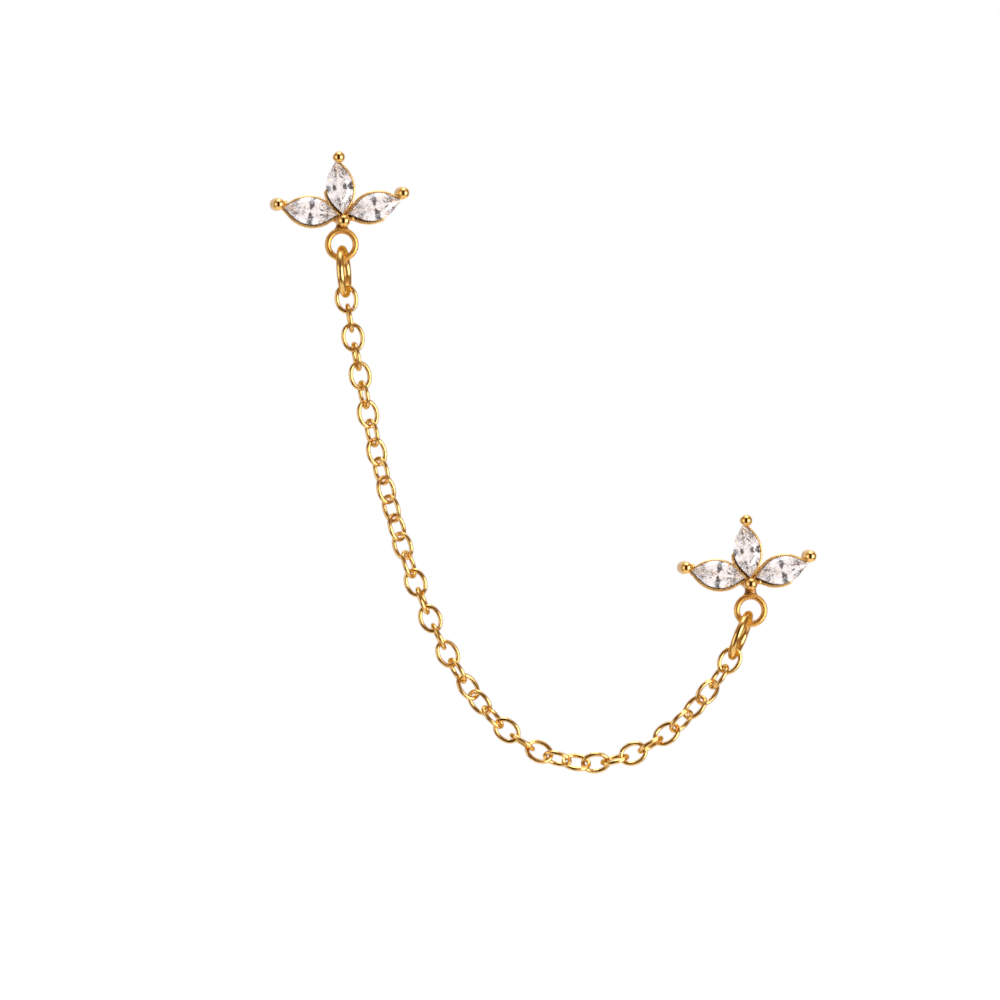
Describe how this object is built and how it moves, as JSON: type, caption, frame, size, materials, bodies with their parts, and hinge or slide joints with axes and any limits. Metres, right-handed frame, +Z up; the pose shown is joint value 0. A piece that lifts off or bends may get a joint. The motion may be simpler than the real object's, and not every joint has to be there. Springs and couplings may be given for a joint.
{
  "type": "ear chain earring",
  "caption": "Ear chain earring: two petal studs with marquise stones, joined by a hanging cable chain on jump rings.",
  "frame": {"origin": "on the upper stud's post axis, at the back face of its setting, where it sits on the ear", "axes": "+Z up as the chain hangs, +X to the viewer's right towards the lower stud, +Y back along both posts"},
  "size_m": [0.0404, 0.012, 0.0461],
  "materials": {
    "gold": "polished yellow gold plating",
    "stone": "clear cut cubic zirconia"
  },
  "bodies": {
    "root": {"setting_upper": "gold", "stone_upper_left": "stone", "stone_upper_middle": "stone", "stone_upper_right": "stone", "setting_lower": "gold", "stone_lower_left": "stone", "stone_lower_middle": "stone", "stone_lower_right": "stone", "jump_ring_upper": "gold", "jump_ring_lower": "gold", "chain": "gold"}
  },
  "joints": []
}
